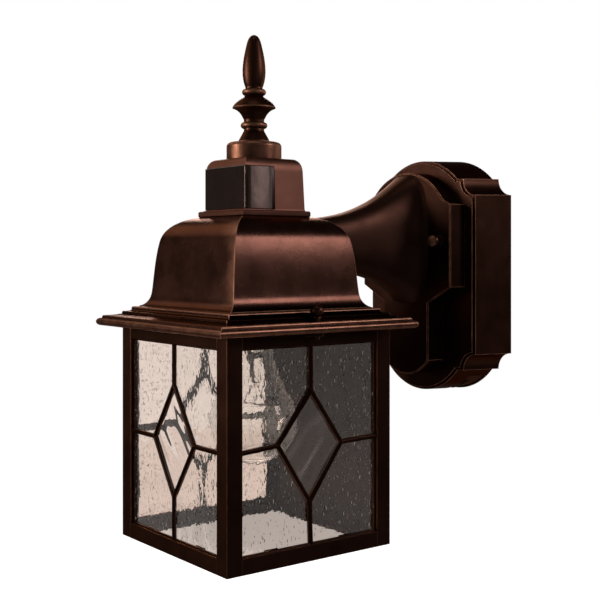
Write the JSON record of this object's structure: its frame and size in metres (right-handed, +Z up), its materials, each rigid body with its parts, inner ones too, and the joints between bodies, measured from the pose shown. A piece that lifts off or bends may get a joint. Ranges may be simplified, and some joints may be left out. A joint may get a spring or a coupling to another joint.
{
  "type": "outdoor wall lantern",
  "caption": "Square wall lantern with leaded glass sides, bell roof, motion-sensor cupola and finial, on a trumpet arm from a deep wall box; the cage drops to change the bulb.",
  "frame": {"origin": "on the wall plane, in the middle of the crossbar and of its two box screw slots", "axes": "+Z up the wall, -Y out from the wall through the arm to the lantern, +X to the right seen from in front"},
  "size_m": [0.1596, 0.2773, 0.3468],
  "materials": {
    "bronze_casting": "dark reddish bronze paint, satin, copper rubbed through on the edges",
    "copper_casting": "bronze paint rubbed back to a lighter copper tone, satin",
    "bronze_fixing": "dark bronze paint, satin",
    "bronze_sheet": "dark bronze paint, fine sand texture",
    "bronze_came": "dark bronze paint over cames and solder joints",
    "seeded_glass": "clear glass full of small upright seeds, wavy on both faces",
    "streaky_glass": "clear glass with milky slanting streaks",
    "lamp_glass": "thin clear glass",
    "lens_plastic": "dark smoky plastic",
    "gasket_foam": "black closed-cell foam",
    "zinc_steel": "zinc-plated steel",
    "green_screw": "green dyed zinc plate",
    "brass": "bare brass",
    "porcelain": "white glaze",
    "nickel": "bright nickel plate",
    "tungsten": "bare wire",
    "black_glass": "black glass and solder",
    "circuit_board": "green solder mask",
    "black_plastic": "moulded black",
    "grey_plastic": "moulded grey",
    "black_lead": "black sleeving",
    "white_lead": "white sleeving",
    "grey_cable": "grey sheath"
  },
  "bodies": {
    "fixture": {"back_box": "bronze_casting", "front_plate": "bronze_casting", "arm": "bronze_casting", "roof": "bronze_casting", "finial": "bronze_casting", "cupola": "copper_casting", "collar": "copper_casting", "cap_nuts": "bronze_fixing", "sensor_lens": "lens_plastic", "wall_gasket": "gasket_foam", "crossbar": "zinc_steel", "stud_nuts": "zinc_steel", "arm_base_screws": "zinc_steel", "roof_screws": "zinc_steel", "rod_nut": "zinc_steel", "ground_screw": "green_screw", "mounting_studs": "brass", "centre_rod": "brass", "screw_shell": "brass", "centre_contact": "brass", "lampholder": "porcelain", "infrared_sensor": "nickel", "sensor_board": "circuit_board", "control_bezel": "black_plastic", "supply_terminal": "black_plastic", "control_case": "grey_plastic", "live_lead": "black_lead", "neutral_lead": "white_lead", "sensor_cable": "grey_cable"},
    "cage": {"corner_posts": "bronze_sheet", "top_rail": "bronze_sheet", "bottom_rail": "bronze_sheet", "back_panel": "bronze_sheet", "came_front": "bronze_came", "came_left": "bronze_came", "came_right": "bronze_came", "seeded_glass_front": "seeded_glass", "seeded_glass_left": "seeded_glass", "seeded_glass_right": "seeded_glass", "diamond_glass_front": "streaky_glass", "diamond_glass_left": "streaky_glass", "diamond_glass_right": "streaky_glass", "panel_clips": "bronze_sheet"},
    "bulb": {"bulb_glass": "lamp_glass", "bulb_cap": "nickel", "bulb_tip": "black_glass", "bulb_stem": "lamp_glass", "bulb_filament": "tungsten"},
    "left_ball_screw": {"ball_screw_left": "bronze_fixing"},
    "right_ball_screw": {"ball_screw_right": "bronze_fixing"},
    "time_slider": {"time_switch": "black_plastic"},
    "range_slider": {"range_switch": "black_plastic"}
  },
  "joints": [
    {"name": "cage_drop", "type": "slide", "parent": "fixture", "child": "cage", "axis": [0, 0, -1], "range_m": [0, 0.15]},
    {"name": "bulb_unscrew", "type": "slide", "parent": "fixture", "child": "bulb", "axis": [0, 0, -1], "range_m": [0, 0.028]},
    {"name": "left_screw_lift", "type": "slide", "parent": "fixture", "child": "left_ball_screw", "axis": [0, 0, 1], "range_m": [0, 0.012]},
    {"name": "right_screw_lift", "type": "slide", "parent": "fixture", "child": "right_ball_screw", "axis": [0, 0, 1], "range_m": [0, 0.012]},
    {"name": "time_switch_slide", "type": "slide", "parent": "fixture", "child": "time_slider", "axis": [0.9239, 0, 0.3827], "range_m": [0, 0.009]},
    {"name": "range_switch_slide", "type": "slide", "parent": "fixture", "child": "range_slider", "axis": [-0.9239, 0, 0.3827], "range_m": [0, 0.009]}
  ]
}
